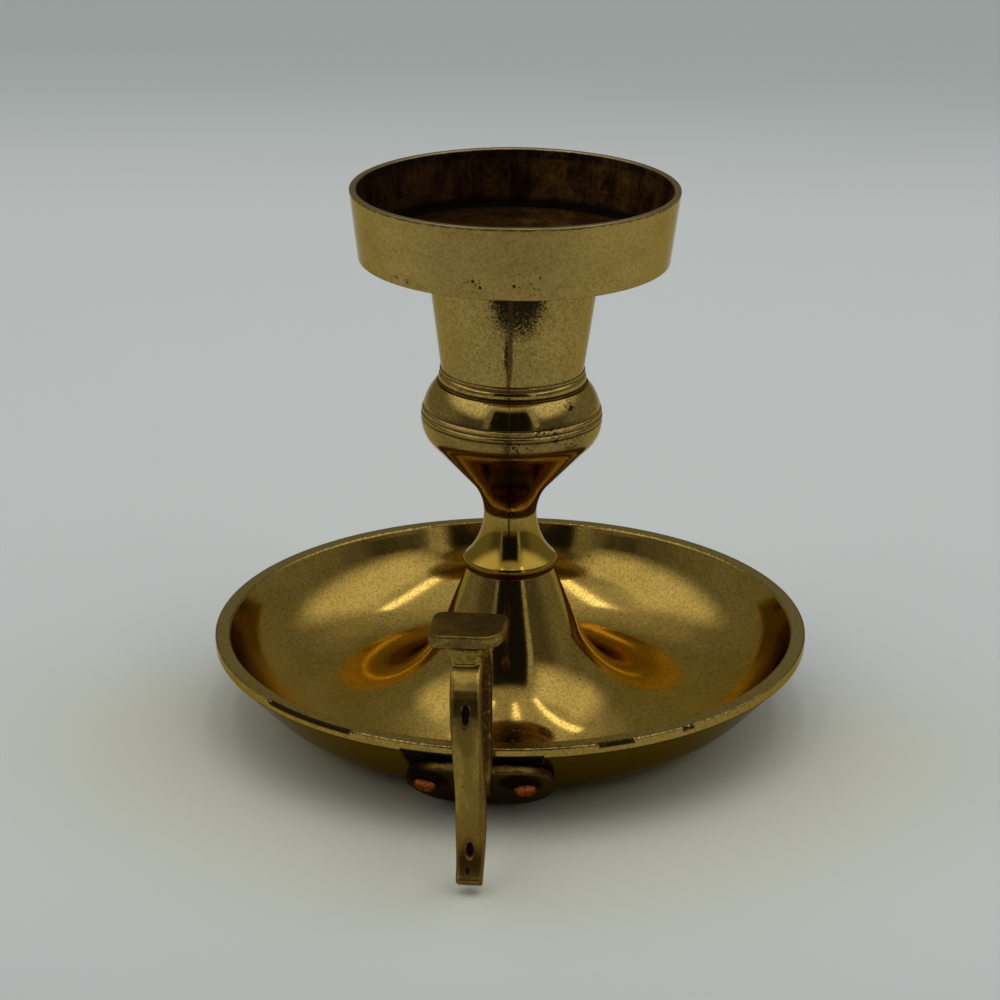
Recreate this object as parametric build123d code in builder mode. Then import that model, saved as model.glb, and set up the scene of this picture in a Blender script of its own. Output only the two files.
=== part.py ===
"""Brass chamberstick: a dished pan with a cone, a seam-cast stem, a lift-out cup and a riveted finger hook.

Millimetres, +Z up. The origin is on the stem's axis, on the surface that the pan stands on.
The finger hook points along -Y.
"""

import os
from math import acos, asin, atan2, cos, degrees, hypot, radians, sin, sqrt, tan

from build123d import *

# Pan, with the cone that carries the stem
pan_radius = 70.0
pan_height = 21.0
floor_thickness = 2.5
rim_land = 3.35
rim_band = 2.3
rim_groove = 0.5
rim_round = 0.5
bowl_angle = 64.0
pan_wall = 1.36
underside_radius = 28.0
cone_height = 36.0
cone_top_radius = 10.0
cone_half_angle = 22.0
trough_share = 0.606
cone_wall = 2.5
cone_top_thickness = 4.0
base_ring_width = 8.0

# Stem, cast hollow in two halves
seam_turn = 4.2
foot_flange_radius = 11.1
foot_flange_height = 2.5
foot_bead_height = 1.0
foot_groove = 0.3
foot_height = 13.3
foot_flare_radius = 15.2
waist_radius = 6.2
waist_arc_radius = 11.2
ogee_height = 23.5
bulb_swell = 4.45
bulb_under_radius = 8.2
shoulder_radius = 12.75
shoulder_ledge = 1.0
neck_height = 29.5
neck_wall = 3.87
neck_flare = 3.4
collar_height = 2.3
collar_bulge = 0.6
fillet_ring_height = 0.8
ring_gap = 0.25
stem_wall = 3.4
line_count = 3
line_start = 0.5
line_pitch = 1.35
line_width = 0.5
line_depth = 0.35

# Tenon that holds the stem on the pan
tenon_radius = 3.2
tenon_height_in_foot = 8.0
tenon_head_radius = 5.2
tenon_head_height = 2.0
washer_radius = 7.4
washer_thickness = 1.5

# Cup, and the candle tube that seats it in the neck
cup_height = 16.6
cup_low_radius = 35.5
cup_rim_radius = 37.5
cup_wall = 1.6
cup_floor = 3.3
cup_edge_break = 0.3
candle_radius = 11.0
candle_clearance = 0.2
tube_wall = 1.4
tube_depth = 30.0
tube_floor = 1.5
tube_end_gap = 1.0

# Finger hook, thumb pad and riveting plate, in one casting
hook_width = 6.4
hook_thickness = 3.2
hook_edge = 0.9
leg_gap = 0.4
finger_gap = 17.0
bend_height = 35.5
bend_radius = 12.4
tail_start = 13.0
tail_radius = 16.0
tail_turn = 42.0
tail_round = 0.6
pad_width = 15.6
pad_length = 13.4
pad_thickness = 2.8
pad_corner = 2.4
pad_worn_corner = 5.2
pad_edge = 0.6
pad_neck_height = 2.5
pad_set_in = 4.2
pad_lip = 0.8
plate_width = 32.7
plate_height = 19.2
plate_thickness = 2.4
plate_start = 1.8
root_height = 5.2

# Copper rivets
rivet_radius = 2.2
rivet_spacing = 21.5
rivet_head_radius = 2.9
rivet_head_height = 1.5
rivet_inner_head_radius = 3.3
rivet_inner_head_height = 1.1

# Clearances
braze_gap = 0.02
seat_gap = 0.05
slide_gap = 0.08

os.makedirs("parts", exist_ok=True)


def save(builder, name):
    """Label a finished piece and write it under its own name."""
    builder.part.label = name
    export_step(builder.part, f"parts/{name}.step")


# Pan: the inside runs down the cone, through its flare, and up the bowl to the rim
rim_inner_radius = pan_radius - rim_land
bowl_slope = radians(bowl_angle)
cone_slope = radians(cone_half_angle)
cone_run = (cone_height - floor_thickness) * tan(cone_slope)
cone_foot_radius = cone_top_radius + cone_run
trough_radius = trough_share * pan_radius
flare_tangent = trough_radius - cone_foot_radius
flare_radius = flare_tangent / tan((radians(90) - cone_slope) / 2)
wall_foot_radius = rim_inner_radius - (pan_height - floor_thickness) / tan(bowl_slope)
bowl_tangent = wall_foot_radius - trough_radius
bowl_radius = bowl_tangent / tan(bowl_slope / 2)
bowl_centre = (trough_radius, floor_thickness + bowl_radius)
flare_start = (
    cone_foot_radius - flare_tangent * sin(cone_slope),
    floor_thickness + flare_tangent * cos(cone_slope),
)
trough = (trough_radius, floor_thickness)
bowl_end = (
    wall_foot_radius + bowl_tangent * cos(bowl_slope),
    floor_thickness + bowl_tangent * sin(bowl_slope),
)

# The underside: a straight conical wall that clears the bowl by the pan's thickness, a round turn onto the
# base ring, and the hollow under the cone
wall_top = (pan_radius - rim_groove, pan_height - rim_band - rim_groove)
top_offset = (wall_top[0] - bowl_centre[0], wall_top[1] - bowl_centre[1])
clear_turn = acos((bowl_radius + pan_wall) / hypot(*top_offset))
underside_slope = radians(90) + atan2(top_offset[1], top_offset[0]) - clear_turn
wall_corner_radius = wall_top[0] - wall_top[1] / tan(underside_slope)
turn_tangent = underside_radius * tan(underside_slope / 2)
wall_bottom = (
    wall_corner_radius + turn_tangent * cos(underside_slope),
    turn_tangent * sin(underside_slope),
)
base_outer_radius = wall_corner_radius - turn_tangent
base_inner_radius = base_outer_radius - base_ring_width
flare_centre = (trough_radius, floor_thickness + flare_radius)
hollow_radius = flare_radius + cone_wall
hollow_edge_height = flare_centre[1] - sqrt(hollow_radius**2 - (trough_radius - base_inner_radius) ** 2)
hollow_flare_end = (
    flare_centre[0] - hollow_radius * cos(cone_slope),
    flare_centre[1] - hollow_radius * sin(cone_slope),
)
hollow_top = cone_height - cone_top_thickness
hollow_top_radius = hollow_flare_end[0] - (hollow_top - hollow_flare_end[1]) * tan(cone_slope)
tenon_hole_radius = tenon_radius + seat_gap

# Rivets stand square to the underside's conical wall, level with the middle of the plate
wall_down = (-cos(underside_slope), -sin(underside_slope))
wall_out = (sin(underside_slope), -cos(underside_slope))
plate_middle = plate_start + plate_height / 2
rivet_point = (
    wall_top[0] + wall_down[0] * plate_middle,
    wall_top[1] + wall_down[1] * plate_middle,
)
rivet_turn = degrees(asin(rivet_spacing / 2 / rivet_point[0]))
rivet_hole_radius = rivet_radius + seat_gap


def wall_plane(turn):
    """The plane that touches the underside's wall, level with the plate's middle, turned about the axis."""
    square = Plane(
        origin=(0, -rivet_point[0], rivet_point[1]),
        x_dir=(1, 0, 0),
        z_dir=(0, -wall_out[0], wall_out[1]),
    )
    return Plane(Location((0, 0, 0), (0, 0, turn)) * square.location)


with BuildPart() as pan:
    with BuildSketch(Plane.XZ):
        with BuildLine():
            Line((tenon_hole_radius, cone_height), (cone_top_radius, cone_height))
            cone_side = Line((cone_top_radius, cone_height), flare_start)
            TangentArc(flare_start, trough, tangent=cone_side % 1)
            TangentArc(trough, bowl_end, tangent=(1, 0))
            Line(bowl_end, (rim_inner_radius, pan_height))
            Line((rim_inner_radius, pan_height), (pan_radius - rim_round, pan_height))
            TangentArc(
                (pan_radius - rim_round, pan_height), (pan_radius, pan_height - rim_round), tangent=(1, 0)
            )
            Polyline(
                (pan_radius, pan_height - rim_round),
                (pan_radius, pan_height - rim_band),
                wall_top,
                wall_bottom,
            )
            TangentArc(wall_bottom, (base_outer_radius, 0), tangent=wall_down)
            Polyline((base_outer_radius, 0), (base_inner_radius, 0), (base_inner_radius, hollow_edge_height))
            RadiusArc((base_inner_radius, hollow_edge_height), hollow_flare_end, hollow_radius)
            Polyline(
                hollow_flare_end,
                (hollow_top_radius, hollow_top),
                (tenon_hole_radius, hollow_top),
                (tenon_hole_radius, cone_height),
            )
        make_face()
    revolve(axis=Axis.Z)
    for side in (-1, 1):
        with BuildSketch(wall_plane(side * rivet_turn)):
            Circle(rivet_hole_radius)
        extrude(amount=pan_height / 3, both=True, mode=Mode.SUBTRACT)
save(pan, "pan")

# The cup's tube hangs in the neck, so the neck and bulb are sized outwards from the candle
tube_inner_radius = candle_radius + candle_clearance
tube_outer_radius = tube_inner_radius + tube_wall
neck_bore_radius = tube_outer_radius + slide_gap
neck_low_radius = neck_bore_radius + neck_wall
neck_top_radius = neck_low_radius + neck_flare
shoulder_end_radius = neck_low_radius + shoulder_ledge
bulb_radius = neck_low_radius + bulb_swell

# Stem: heights of the mouldings, from the cone's top upward
waist_height = cone_height + foot_height
bulb_height = waist_height + ogee_height
shoulder_rise = sqrt(shoulder_radius**2 - (shoulder_radius - bulb_radius + shoulder_end_radius) ** 2)
shoulder_height = bulb_height + shoulder_rise
cup_base_height = shoulder_height + neck_height
flange_top = cone_height + foot_flange_height
flare_drop = foot_height - foot_flange_height
foot_flare_end_radius = waist_radius + foot_flare_radius - sqrt(foot_flare_radius**2 - flare_drop**2)

# The ogee under the bulb: a hollow arc at the waist, a straight run, and a round arc up to the widest ring
bulb_arc_centre = (bulb_radius - bulb_under_radius, bulb_height)
waist_arc_centre = (waist_radius + waist_arc_radius, waist_height)
arc_offset = (waist_arc_centre[0] - bulb_arc_centre[0], ogee_height)
run_lean = acos((bulb_under_radius + waist_arc_radius) / hypot(*arc_offset)) - atan2(ogee_height, arc_offset[0])
run_out = (cos(run_lean), sin(run_lean))
ogee_high = (
    bulb_arc_centre[0] + bulb_under_radius * run_out[0],
    bulb_arc_centre[1] + bulb_under_radius * run_out[1],
)
ogee_low = (
    waist_arc_centre[0] - waist_arc_radius * run_out[0],
    waist_arc_centre[1] - waist_arc_radius * run_out[1],
)
cavity_high = (ogee_high[0] - stem_wall * run_out[0], ogee_high[1] - stem_wall * run_out[1])
cavity_low = (ogee_low[0] - stem_wall * run_out[0], ogee_low[1] - stem_wall * run_out[1])
collar_base = shoulder_height + ring_gap
collar_top = collar_base + collar_height
fillet_base = collar_top + ring_gap
fillet_top = fillet_base + fillet_ring_height

cup_floor_height = cup_base_height + cup_floor
tube_bottom_height = cup_floor_height - tube_depth - tube_floor
neck_bore_bottom = tube_bottom_height - tube_end_gap
tenon_top = cone_height + tenon_height_in_foot
stem_hole_radius = tenon_radius + braze_gap


def bulb_radius_at(rise):
    """Radius of the bulb at a height above its widest ring."""
    return bulb_radius - shoulder_radius + sqrt(shoulder_radius**2 - rise**2)


def seam_plane(turn):
    """An upright plane through the axis, its first direction turned from the seam that faces the hook."""
    return Plane(Location((0, 0, 0), (0, 0, turn + seam_turn - 90)) * Plane.XZ.location)


for name, turn in (("stem_right", 0), ("stem_left", 180)):
    with BuildPart() as half:
        with BuildSketch(seam_plane(turn)):
            with BuildLine():
                Polyline(
                    (0, tenon_top + ring_gap),
                    (stem_hole_radius, tenon_top),
                    (stem_hole_radius, cone_height),
                    (foot_flange_radius - foot_groove, cone_height),
                    (foot_flange_radius - foot_groove, cone_height + foot_bead_height),
                    (foot_flange_radius - 2 * foot_groove, cone_height + foot_bead_height + foot_groove),
                    (foot_flange_radius, cone_height + foot_bead_height + 2 * foot_groove),
                    (foot_flange_radius, flange_top - foot_groove),
                    (foot_flare_end_radius, flange_top),
                )
                TangentArc((waist_radius, waist_height), (foot_flare_end_radius, flange_top), tangent=(0, -1))
                TangentArc((waist_radius, waist_height), ogee_low, tangent=(0, 1))
                Line(ogee_low, ogee_high)
                TangentArc((bulb_radius, bulb_height), ogee_high, tangent=(0, -1))
                TangentArc((bulb_radius, bulb_height), (shoulder_end_radius, shoulder_height), tangent=(0, 1))
                Polyline(
                    (shoulder_end_radius, shoulder_height),
                    (neck_low_radius, shoulder_height),
                    (neck_low_radius, collar_base),
                )
                ThreePointArc(
                    (neck_low_radius, collar_base),
                    (neck_low_radius + collar_bulge, (collar_base + collar_top) / 2),
                    (neck_low_radius, collar_top),
                )
                Line((neck_low_radius, collar_top), (neck_low_radius, fillet_base))
                ThreePointArc(
                    (neck_low_radius, fillet_base),
                    (neck_low_radius + collar_bulge, (fillet_base + fillet_top) / 2),
                    (neck_low_radius, fillet_top),
                )
                Polyline(
                    (neck_low_radius, fillet_top),
                    (neck_top_radius, cup_base_height),
                    (neck_bore_radius, cup_base_height),
                    (neck_bore_radius, neck_bore_bottom),
                    (bulb_radius - stem_wall, bulb_height),
                    cavity_high,
                    cavity_low,
                    (0, cavity_low[1]),
                    (0, tenon_top + ring_gap),
                )
            make_face()
        revolve(axis=Axis.Z, revolution_arc=180)
        with BuildSketch(seam_plane(turn)):
            for number in range(line_count):
                rise = line_start + number * line_pitch
                with Locations((bulb_radius_at(rise), bulb_height + rise)):
                    Rectangle(2 * line_depth, line_width)
        revolve(axis=Axis.Z, revolution_arc=180, mode=Mode.SUBTRACT)
    save(half, name)

# Tenon: brazed into the stem's foot, passed through the cone's top and peened over a washer
washer_base = hollow_top - washer_thickness
with BuildPart() as tenon:
    with BuildSketch(Plane.XZ):
        with BuildLine():
            TangentArc(
                (0, washer_base - tenon_head_height), (tenon_head_radius, washer_base), tangent=(1, 0)
            )
            Polyline(
                (tenon_head_radius, washer_base),
                (tenon_radius, washer_base),
                (tenon_radius, tenon_top),
                (0, tenon_top),
                (0, washer_base - tenon_head_height),
            )
        make_face()
    revolve(axis=Axis.Z)
save(tenon, "stem_tenon")

with BuildPart() as washer:
    with BuildSketch(Plane.XY.offset(washer_base)):
        Circle(washer_radius)
        Circle(tenon_hole_radius, mode=Mode.SUBTRACT)
    extrude(amount=washer_thickness)
save(washer, "tenon_washer")

# Cup: a flared wall on a thick floor, bored in the middle for the candle tube
cup_rim_height = cup_base_height + cup_height
cup_flare = (cup_rim_radius - cup_low_radius) / cup_height
cup_inner_low = cup_low_radius + cup_flare * cup_floor - cup_wall
with BuildPart() as cup:
    with BuildSketch(Plane.XZ):
        with BuildLine():
            Polyline(
                (tube_outer_radius + braze_gap, cup_base_height),
                (cup_low_radius, cup_base_height),
                (cup_rim_radius, cup_rim_height),
                (cup_rim_radius - cup_wall, cup_rim_height),
                (cup_inner_low, cup_floor_height),
                (tube_outer_radius + braze_gap, cup_floor_height),
                close=True,
            )
        make_face()
    revolve(axis=Axis.Z)
    fillet(cup.edges().filter_by(GeomType.CIRCLE).group_by(Axis.Z)[-1], cup_edge_break)
save(cup, "cup")

with BuildPart() as candle_tube:
    with BuildSketch(Plane.XZ):
        with BuildLine():
            Polyline(
                (0, tube_bottom_height),
                (tube_outer_radius, tube_bottom_height),
                (tube_outer_radius, cup_floor_height),
                (tube_inner_radius, cup_floor_height),
                (tube_inner_radius, tube_bottom_height + tube_floor),
                (0, tube_bottom_height + tube_floor),
                close=True,
            )
        make_face()
    revolve(axis=Axis.Z)
save(candle_tube, "candle_tube")

# Finger hook: reach is measured from the axis along -Y
leg_back = pan_radius + leg_gap
leg_reach = leg_back + hook_thickness / 2
strap_reach = leg_reach + hook_thickness + finger_gap
leg_bend_radius = strap_reach - leg_reach - bend_radius
arch_top = bend_height + bend_radius
root_top = pan_height - rim_band - plate_start
tail_swing = radians(tail_turn)
tail_end = (
    strap_reach + tail_radius * (1 - cos(tail_swing)),
    tail_start - tail_radius * sin(tail_swing),
)
pad_base = arch_top + hook_thickness / 2 + pad_neck_height
pad_reach = leg_back + pad_set_in + pad_length / 2


def off_wall(down, out):
    """A point down the underside's conical wall and out from it, as (reach, height)."""
    return (
        wall_top[0] + wall_down[0] * down + wall_out[0] * out,
        wall_top[1] + wall_down[1] * down + wall_out[1] * out,
    )


def side_view(*points):
    """Points given as (reach, height), in the upright plane through the hook."""
    return [(-reach, height) for reach, height in points]


with BuildPart() as handle:
    plate_sweep = 2 * degrees(asin(plate_width / (2 * wall_bottom[0])))
    with BuildSketch(Plane(Location((0, 0, 0), (0, 0, -plate_sweep / 2)) * Plane.YZ.location)):
        Polygon(
            *side_view(
                off_wall(plate_start - seat_gap, seat_gap),
                off_wall(plate_start - seat_gap, plate_thickness),
                off_wall(plate_start + plate_height, plate_thickness),
                off_wall(plate_start + plate_height, seat_gap),
            ),
            align=None,
        )
    revolve(axis=Axis.Z, revolution_arc=plate_sweep)
    with BuildSketch(wall_plane(0)):
        SlotOverall(plate_width, plate_height)
    extrude(amount=plate_height, both=True, mode=Mode.INTERSECT)
    for side in (-1, 1):
        with BuildSketch(wall_plane(side * rivet_turn)):
            Circle(rivet_hole_radius)
        extrude(amount=2 * plate_thickness, both=True, mode=Mode.SUBTRACT)
    with BuildSketch(Plane.YZ):
        Polygon(
            *side_view(
                (leg_back, root_top),
                (leg_back + hook_thickness, root_top),
                (leg_back + hook_thickness, root_top - root_height),
                off_wall(plate_middle, plate_thickness),
                off_wall(plate_start + plate_thickness, plate_thickness / 2),
            ),
            align=None,
        )
    extrude(amount=hook_width / 2, both=True)
    with BuildLine(Plane.YZ) as hook_path:
        points = side_view(
            (leg_reach, root_top - plate_start),
            (leg_reach, arch_top - leg_bend_radius),
            (leg_reach + leg_bend_radius, arch_top),
            (strap_reach, bend_height),
            (strap_reach, tail_start),
            tail_end,
        )
        Line(points[0], points[1])
        TangentArc(points[1], points[2], tangent=(0, 1))
        TangentArc(points[2], points[3], tangent=(-1, 0))
        Line(points[3], points[4])
        TangentArc(points[4], points[5], tangent=(0, -1))
    hook_line = hook_path.wires()[0]
    with BuildSketch(Plane(origin=hook_line @ 0, x_dir=(1, 0, 0), z_dir=hook_line % 0)):
        RectangleRounded(hook_width, hook_thickness, hook_edge)
    sweep(path=hook_line)
    fillet(handle.faces().sort_by_distance(hook_line @ 1)[0].edges(), tail_round)
    with BuildSketch(Plane.XY.offset(pad_base)) as pad_outline:
        with Locations((0, -pad_reach)):
            Rectangle(pad_width, pad_length)
        fillet(pad_outline.vertices().group_by(Axis.X)[0], pad_corner)
        fillet(pad_outline.vertices().group_by(Axis.X)[-1].sort_by(Axis.Y)[-1], pad_corner)
        fillet(pad_outline.vertices().group_by(Axis.X)[-1].sort_by(Axis.Y)[0], pad_worn_corner)
    extrude(amount=pad_thickness)
    fillet(handle.edges().group_by(Axis.Z)[-1], pad_edge)
    with BuildSketch(Plane.XY.offset(arch_top - hook_thickness / 4)):
        with Locations((0, -pad_reach)):
            RectangleRounded(hook_width, pad_length - pad_neck_height, hook_edge)
    with BuildSketch(Plane.XY.offset(pad_base)):
        with Locations((0, -pad_reach)):
            RectangleRounded(pad_width - 2 * pad_lip, pad_length - 2 * pad_lip, pad_worn_corner - pad_lip)
    loft()
save(handle, "handle")

# Rivets: one head peened on the plate, the other set low on the bowl
bowl_offset = (rivet_point[0] - bowl_centre[0], rivet_point[1] - bowl_centre[1])
bowl_reach = bowl_offset[0] * wall_out[0] + bowl_offset[1] * wall_out[1]
bowl_square = bowl_offset[0] ** 2 + bowl_offset[1] ** 2
wall_at_rivet = bowl_reach - sqrt(bowl_reach**2 - bowl_square + bowl_radius**2)
for name, side in (("rivet_left", -1), ("rivet_right", 1)):
    seat = wall_plane(side * rivet_turn)
    with BuildPart() as rivet:
        with BuildSketch(Plane(origin=seat.origin, x_dir=seat.x_dir, z_dir=seat.x_dir.cross(seat.z_dir))):
            with BuildLine():
                top = (0, plate_thickness + rivet_head_height)
                bottom = (0, -wall_at_rivet - rivet_inner_head_height)
                TangentArc(top, (rivet_head_radius, plate_thickness), tangent=(1, 0))
                Polyline(
                    (rivet_head_radius, plate_thickness),
                    (rivet_head_radius, plate_thickness - seat_gap),
                    (rivet_radius, plate_thickness - seat_gap),
                    (rivet_radius, -wall_at_rivet / 2),
                    (rivet_inner_head_radius, -wall_at_rivet / 2),
                    (rivet_inner_head_radius, -wall_at_rivet),
                )
                TangentArc(bottom, (rivet_inner_head_radius, -wall_at_rivet), tangent=(1, 0))
                Line(bottom, top)
            make_face()
        revolve(axis=Axis(seat.origin, seat.z_dir))
        add(pan.part, mode=Mode.SUBTRACT)
        add(handle.part, mode=Mode.SUBTRACT)
    save(rivet, name)
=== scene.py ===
"""Aged brass chamberstick: turned pan and stem, lift-out cup and riveted finger hook, in a pale studio."""

from __future__ import annotations

import logging
import math
import random
from collections.abc import Callable
from dataclasses import dataclass, field
from enum import Enum

import bpy
from mathutils import Matrix, Vector

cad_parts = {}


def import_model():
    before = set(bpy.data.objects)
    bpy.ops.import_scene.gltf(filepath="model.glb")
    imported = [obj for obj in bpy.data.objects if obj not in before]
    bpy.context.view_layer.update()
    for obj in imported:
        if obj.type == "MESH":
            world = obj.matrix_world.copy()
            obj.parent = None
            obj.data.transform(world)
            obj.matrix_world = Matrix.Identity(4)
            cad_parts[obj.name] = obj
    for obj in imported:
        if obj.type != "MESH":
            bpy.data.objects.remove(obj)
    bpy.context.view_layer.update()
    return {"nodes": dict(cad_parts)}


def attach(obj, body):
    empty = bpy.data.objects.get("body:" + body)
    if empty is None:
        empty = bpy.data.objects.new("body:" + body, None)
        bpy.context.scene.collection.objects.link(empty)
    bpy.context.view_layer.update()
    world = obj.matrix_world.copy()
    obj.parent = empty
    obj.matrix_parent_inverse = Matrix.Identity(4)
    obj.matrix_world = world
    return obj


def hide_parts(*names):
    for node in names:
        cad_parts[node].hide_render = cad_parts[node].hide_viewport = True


LOG = logging.getLogger("chamberstick")
MM = 0.001
Point = tuple[float, float]
Colour = tuple[float, float, float]


def held(share: float) -> float:
    """A number held between 0 and 1."""
    return min(max(share, 0.0), 1.0)


class Body(str, Enum):
    """The two rigid bodies of the chamberstick."""

    STAND = "stand"
    CUP = "cup"


class Pick(str, Enum):
    """What a shape's edit mode selects."""

    EDGES = "EDGE"
    FACES = "FACE"


@dataclass(frozen=True)
class Lean:
    """The bend in the waist, which tips the upper stem and the cup to one side."""

    start: float = 49.3
    soft: float = 3.0
    degrees: float = 0.85
    toward: float = 6.2
    cup_base: float = 111.02
    cup_rim: float = 127.62

    @property
    def tilt(self) -> float:
        """The angle in radians."""
        return math.radians(self.degrees)

    @property
    def axis(self) -> tuple[float, float, float]:
        """The level line that the upper part turns about."""
        angle = math.radians(self.toward)
        return (-math.sin(angle), math.cos(angle), 0.0)

    def bend(self, piece: bpy.types.Object) -> None:
        """Tip what lies above the waist, with a soft start.

        The high side of the cup's rim is held down to the rim's true height.

        Args:
            piece: The upright piece, which is changed.
        """
        pivot = Vector((0, 0, self.start * MM))
        for vertex in piece.data.vertices:
            height = vertex.co.z
            share = held((height / MM - self.start + self.soft) / (2.0 * self.soft))
            turn = Matrix.Rotation(self.tilt * share, 3, Vector(self.axis))
            vertex.co = turn @ (vertex.co - pivot) + pivot
            level = held((height / MM - self.cup_base) / (self.cup_rim - self.cup_base))
            vertex.co.z -= max(vertex.co.z - height, 0.0) * level


LEAN = Lean()


class Value:
    """A number on a shader socket, with arithmetic that adds Math nodes."""

    def __init__(self, graph: Graph, socket: bpy.types.NodeSocket) -> None:
        """Wrap one output socket."""
        self.graph = graph
        self.socket = socket

    def maths(self, operation: str, *others: Value | float) -> Value:
        """Add one Math node that starts from this value.

        Args:
            operation: Blender's name of the operation.
            others: The remaining operands, in order.

        Returns:
            The node's result.
        """
        operands = dict(enumerate((self, *others)))
        return self.graph.node("Math", {"operation": operation}, operands)

    def __add__(self, other: Value | float) -> Value:
        """Sum."""
        return self.maths("ADD", other)

    __radd__ = __add__

    def __mul__(self, other: Value | float) -> Value:
        """Product."""
        return self.maths("MULTIPLY", other)

    __rmul__ = __mul__

    def __sub__(self, other: Value | float) -> Value:
        """Difference."""
        return self.maths("SUBTRACT", other)

    def __rsub__(self, other: float) -> Value:
        """Difference from a plain number."""
        return self * -1.0 + other

    def __truediv__(self, other: Value | float) -> Value:
        """Quotient."""
        return self.maths("DIVIDE", other)

    def __abs__(self) -> Value:
        """Size without sign."""
        return self.maths("ABSOLUTE")

    def __pow__(self, other: float) -> Value:
        """Power."""
        return self.maths("POWER", other)

    def most(self, other: Value | float) -> Value:
        """The larger of two values."""
        return self.maths("MAXIMUM", other)

    def least(self, other: Value | float) -> Value:
        """The smaller of two values."""
        return self.maths("MINIMUM", other)

    def ramp(self, low: float, high: float) -> Value:
        """A smooth step between two numbers.

        Args:
            low: Where the step is 0; it may be the larger number.
            high: Where the step is 1.

        Returns:
            The step.
        """
        sockets = {"Value": self, "From Min": low, "From Max": high}
        if low > high:
            sockets = {"Value": self, "From Min": high, "From Max": low, "To Min": 1.0, "To Max": 0.0}
        return self.graph.node("MapRange", {"interpolation_type": "SMOOTHSTEP"}, sockets)

    def toward(self, target: float, share: Value) -> Value:
        """This value, moved to a target by a share from 0 to 1."""
        return self * (1.0 - share) + share * target

    def near(self, centre: float, half: float, soft: float) -> Value:
        """1 within half of a centre, falling to 0 over soft beyond it."""
        return abs(self - centre).ramp(half + soft, half)


class Graph:
    """Adds nodes to one node tree."""

    def __init__(self, tree: bpy.types.NodeTree) -> None:
        """Keep the tree that nodes go into."""
        self.tree = tree

    def node(
        self,
        kind: str,
        settings: dict | None = None,
        sockets: dict | None = None,
        out: str | int = 0,
    ) -> Value:
        """Add one shader node.

        Args:
            kind: The node's type, without its ShaderNode prefix.
            settings: Attributes that are set first.
            sockets: Values or links, by socket name or number.
            out: The output that is wanted.

        Returns:
            The chosen output.
        """
        made = self.tree.nodes.new("ShaderNode" + kind)
        for key, value in (settings or {}).items():
            setattr(made, key, value)
        for key, value in (sockets or {}).items():
            if isinstance(value, Value):
                self.tree.links.new(value.socket, made.inputs[key])
            elif isinstance(value, tuple) and len(value) == 3 and made.inputs[key].type == "RGBA":
                made.inputs[key].default_value = (*value, 1.0)
            else:
                made.inputs[key].default_value = value
        return Value(self, made.outputs[out])

    def blend(self, share: Value, under: Value | Colour, over: Value | Colour) -> Value:
        """Lay one colour over another by a mask."""
        return self.node("Mix", {"data_type": "RGBA"}, {0: share, 6: under, 7: over}, 2)


class Place(Graph):
    """A material's tree, with the surface's own place on the chamberstick in millimetres."""

    def __init__(self, material: bpy.types.Material, leaning: bool = False) -> None:
        """Read Object coordinates and derive reach, turn, height, and level, the height without the lean.

        Args:
            material: The material whose tree is used.
            leaning: Whether the piece leans with the stem, so that its own height runs along the lean.
        """
        super().__init__(material.node_tree)
        metres = self.node("TexCoord", out="Object")
        self.spot = self.node("VectorMath", {"operation": "SCALE"}, {0: metres, "Scale": 1000.0})
        self.level = Value(self, self.node("SeparateXYZ", None, {0: self.spot}).socket.node.outputs[2])
        if leaning:
            sockets = {"Vector": self.spot, "Center": (0, 0, LEAN.start), "Axis": LEAN.axis}
            self.spot = self.node("VectorRotate", None, {**sockets, "Angle": -LEAN.tilt})
        split = self.node("SeparateXYZ", None, {0: self.spot}).socket.node
        self.x, self.y, self.z = (Value(self, split.outputs[i]) for i in range(3))
        self.reach = (self.x * self.x + self.y * self.y) ** 0.5
        self.turn = self.x.maths("ARCTAN2", self.y * -1.0) * (180.0 / math.pi)

    def stretched(self, along: tuple[float, float, float]) -> Value:
        """The place scaled differently along X, Y and Z."""
        return self.node("VectorMath", {"operation": "MULTIPLY"}, {0: self.spot, 1: along})

    def wrapped(self, turn: float, height: float) -> Value:
        """A place that runs round the axis and up it, for streaks on turned pieces."""
        sockets = {0: self.turn * turn, 1: self.reach * height, 2: self.z * height}
        return self.node("CombineXYZ", None, sockets)

    def cloud(
        self,
        size: float,
        detail: float = 3.0,
        rough: float = 0.55,
        where: Value | None = None,
    ) -> Value:
        """Soft noise whose blotches are about size millimetres across.

        Args:
            size: Blotch size in millimetres.
            detail: Octaves of finer noise.
            rough: How strong the finer noise is.
            where: Coordinates other than the plain place.

        Returns:
            A value around one half.
        """
        sockets = {"Vector": where or self.spot, "Scale": 1.0 / size, "Detail": detail, "Roughness": rough}
        return self.node("TexNoise", None, sockets)

    def oval(self, centre: Point, half: Point) -> Value:
        """A soft oval mark on a face that looks along Y.

        Args:
            centre: Its middle, as (x, z) in millimetres.
            half: Its half width and half height.

        Returns:
            1 in the middle, 0 outside.
        """
        across = (self.x - centre[0]) / half[0]
        along = (self.z - centre[1]) / half[1]
        return (across * across + along * along).ramp(1.5, 0.6)

    def pits(self, size: float, share: float, where: Value) -> Value:
        """Small round holes, one in some of the cells of a given size.

        Args:
            size: Cell size in millimetres.
            share: Radius of a hole as a share of its cell.
            where: A value from 0 to 1 that says how many cells have a hole.

        Returns:
            1 in a hole, 0 outside.
        """
        sockets = {"Vector": self.spot, "Scale": 1.0 / size, "Randomness": 1.0}
        cell = self.node("TexVoronoi", None, sockets).socket.node
        hole = Value(self, cell.outputs["Distance"]).ramp(share, share * 0.45)
        pick = self.node("SeparateColor", None, {0: Value(self, cell.outputs["Color"])})
        return hole * (where - pick).ramp(0.0, 0.06)


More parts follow.
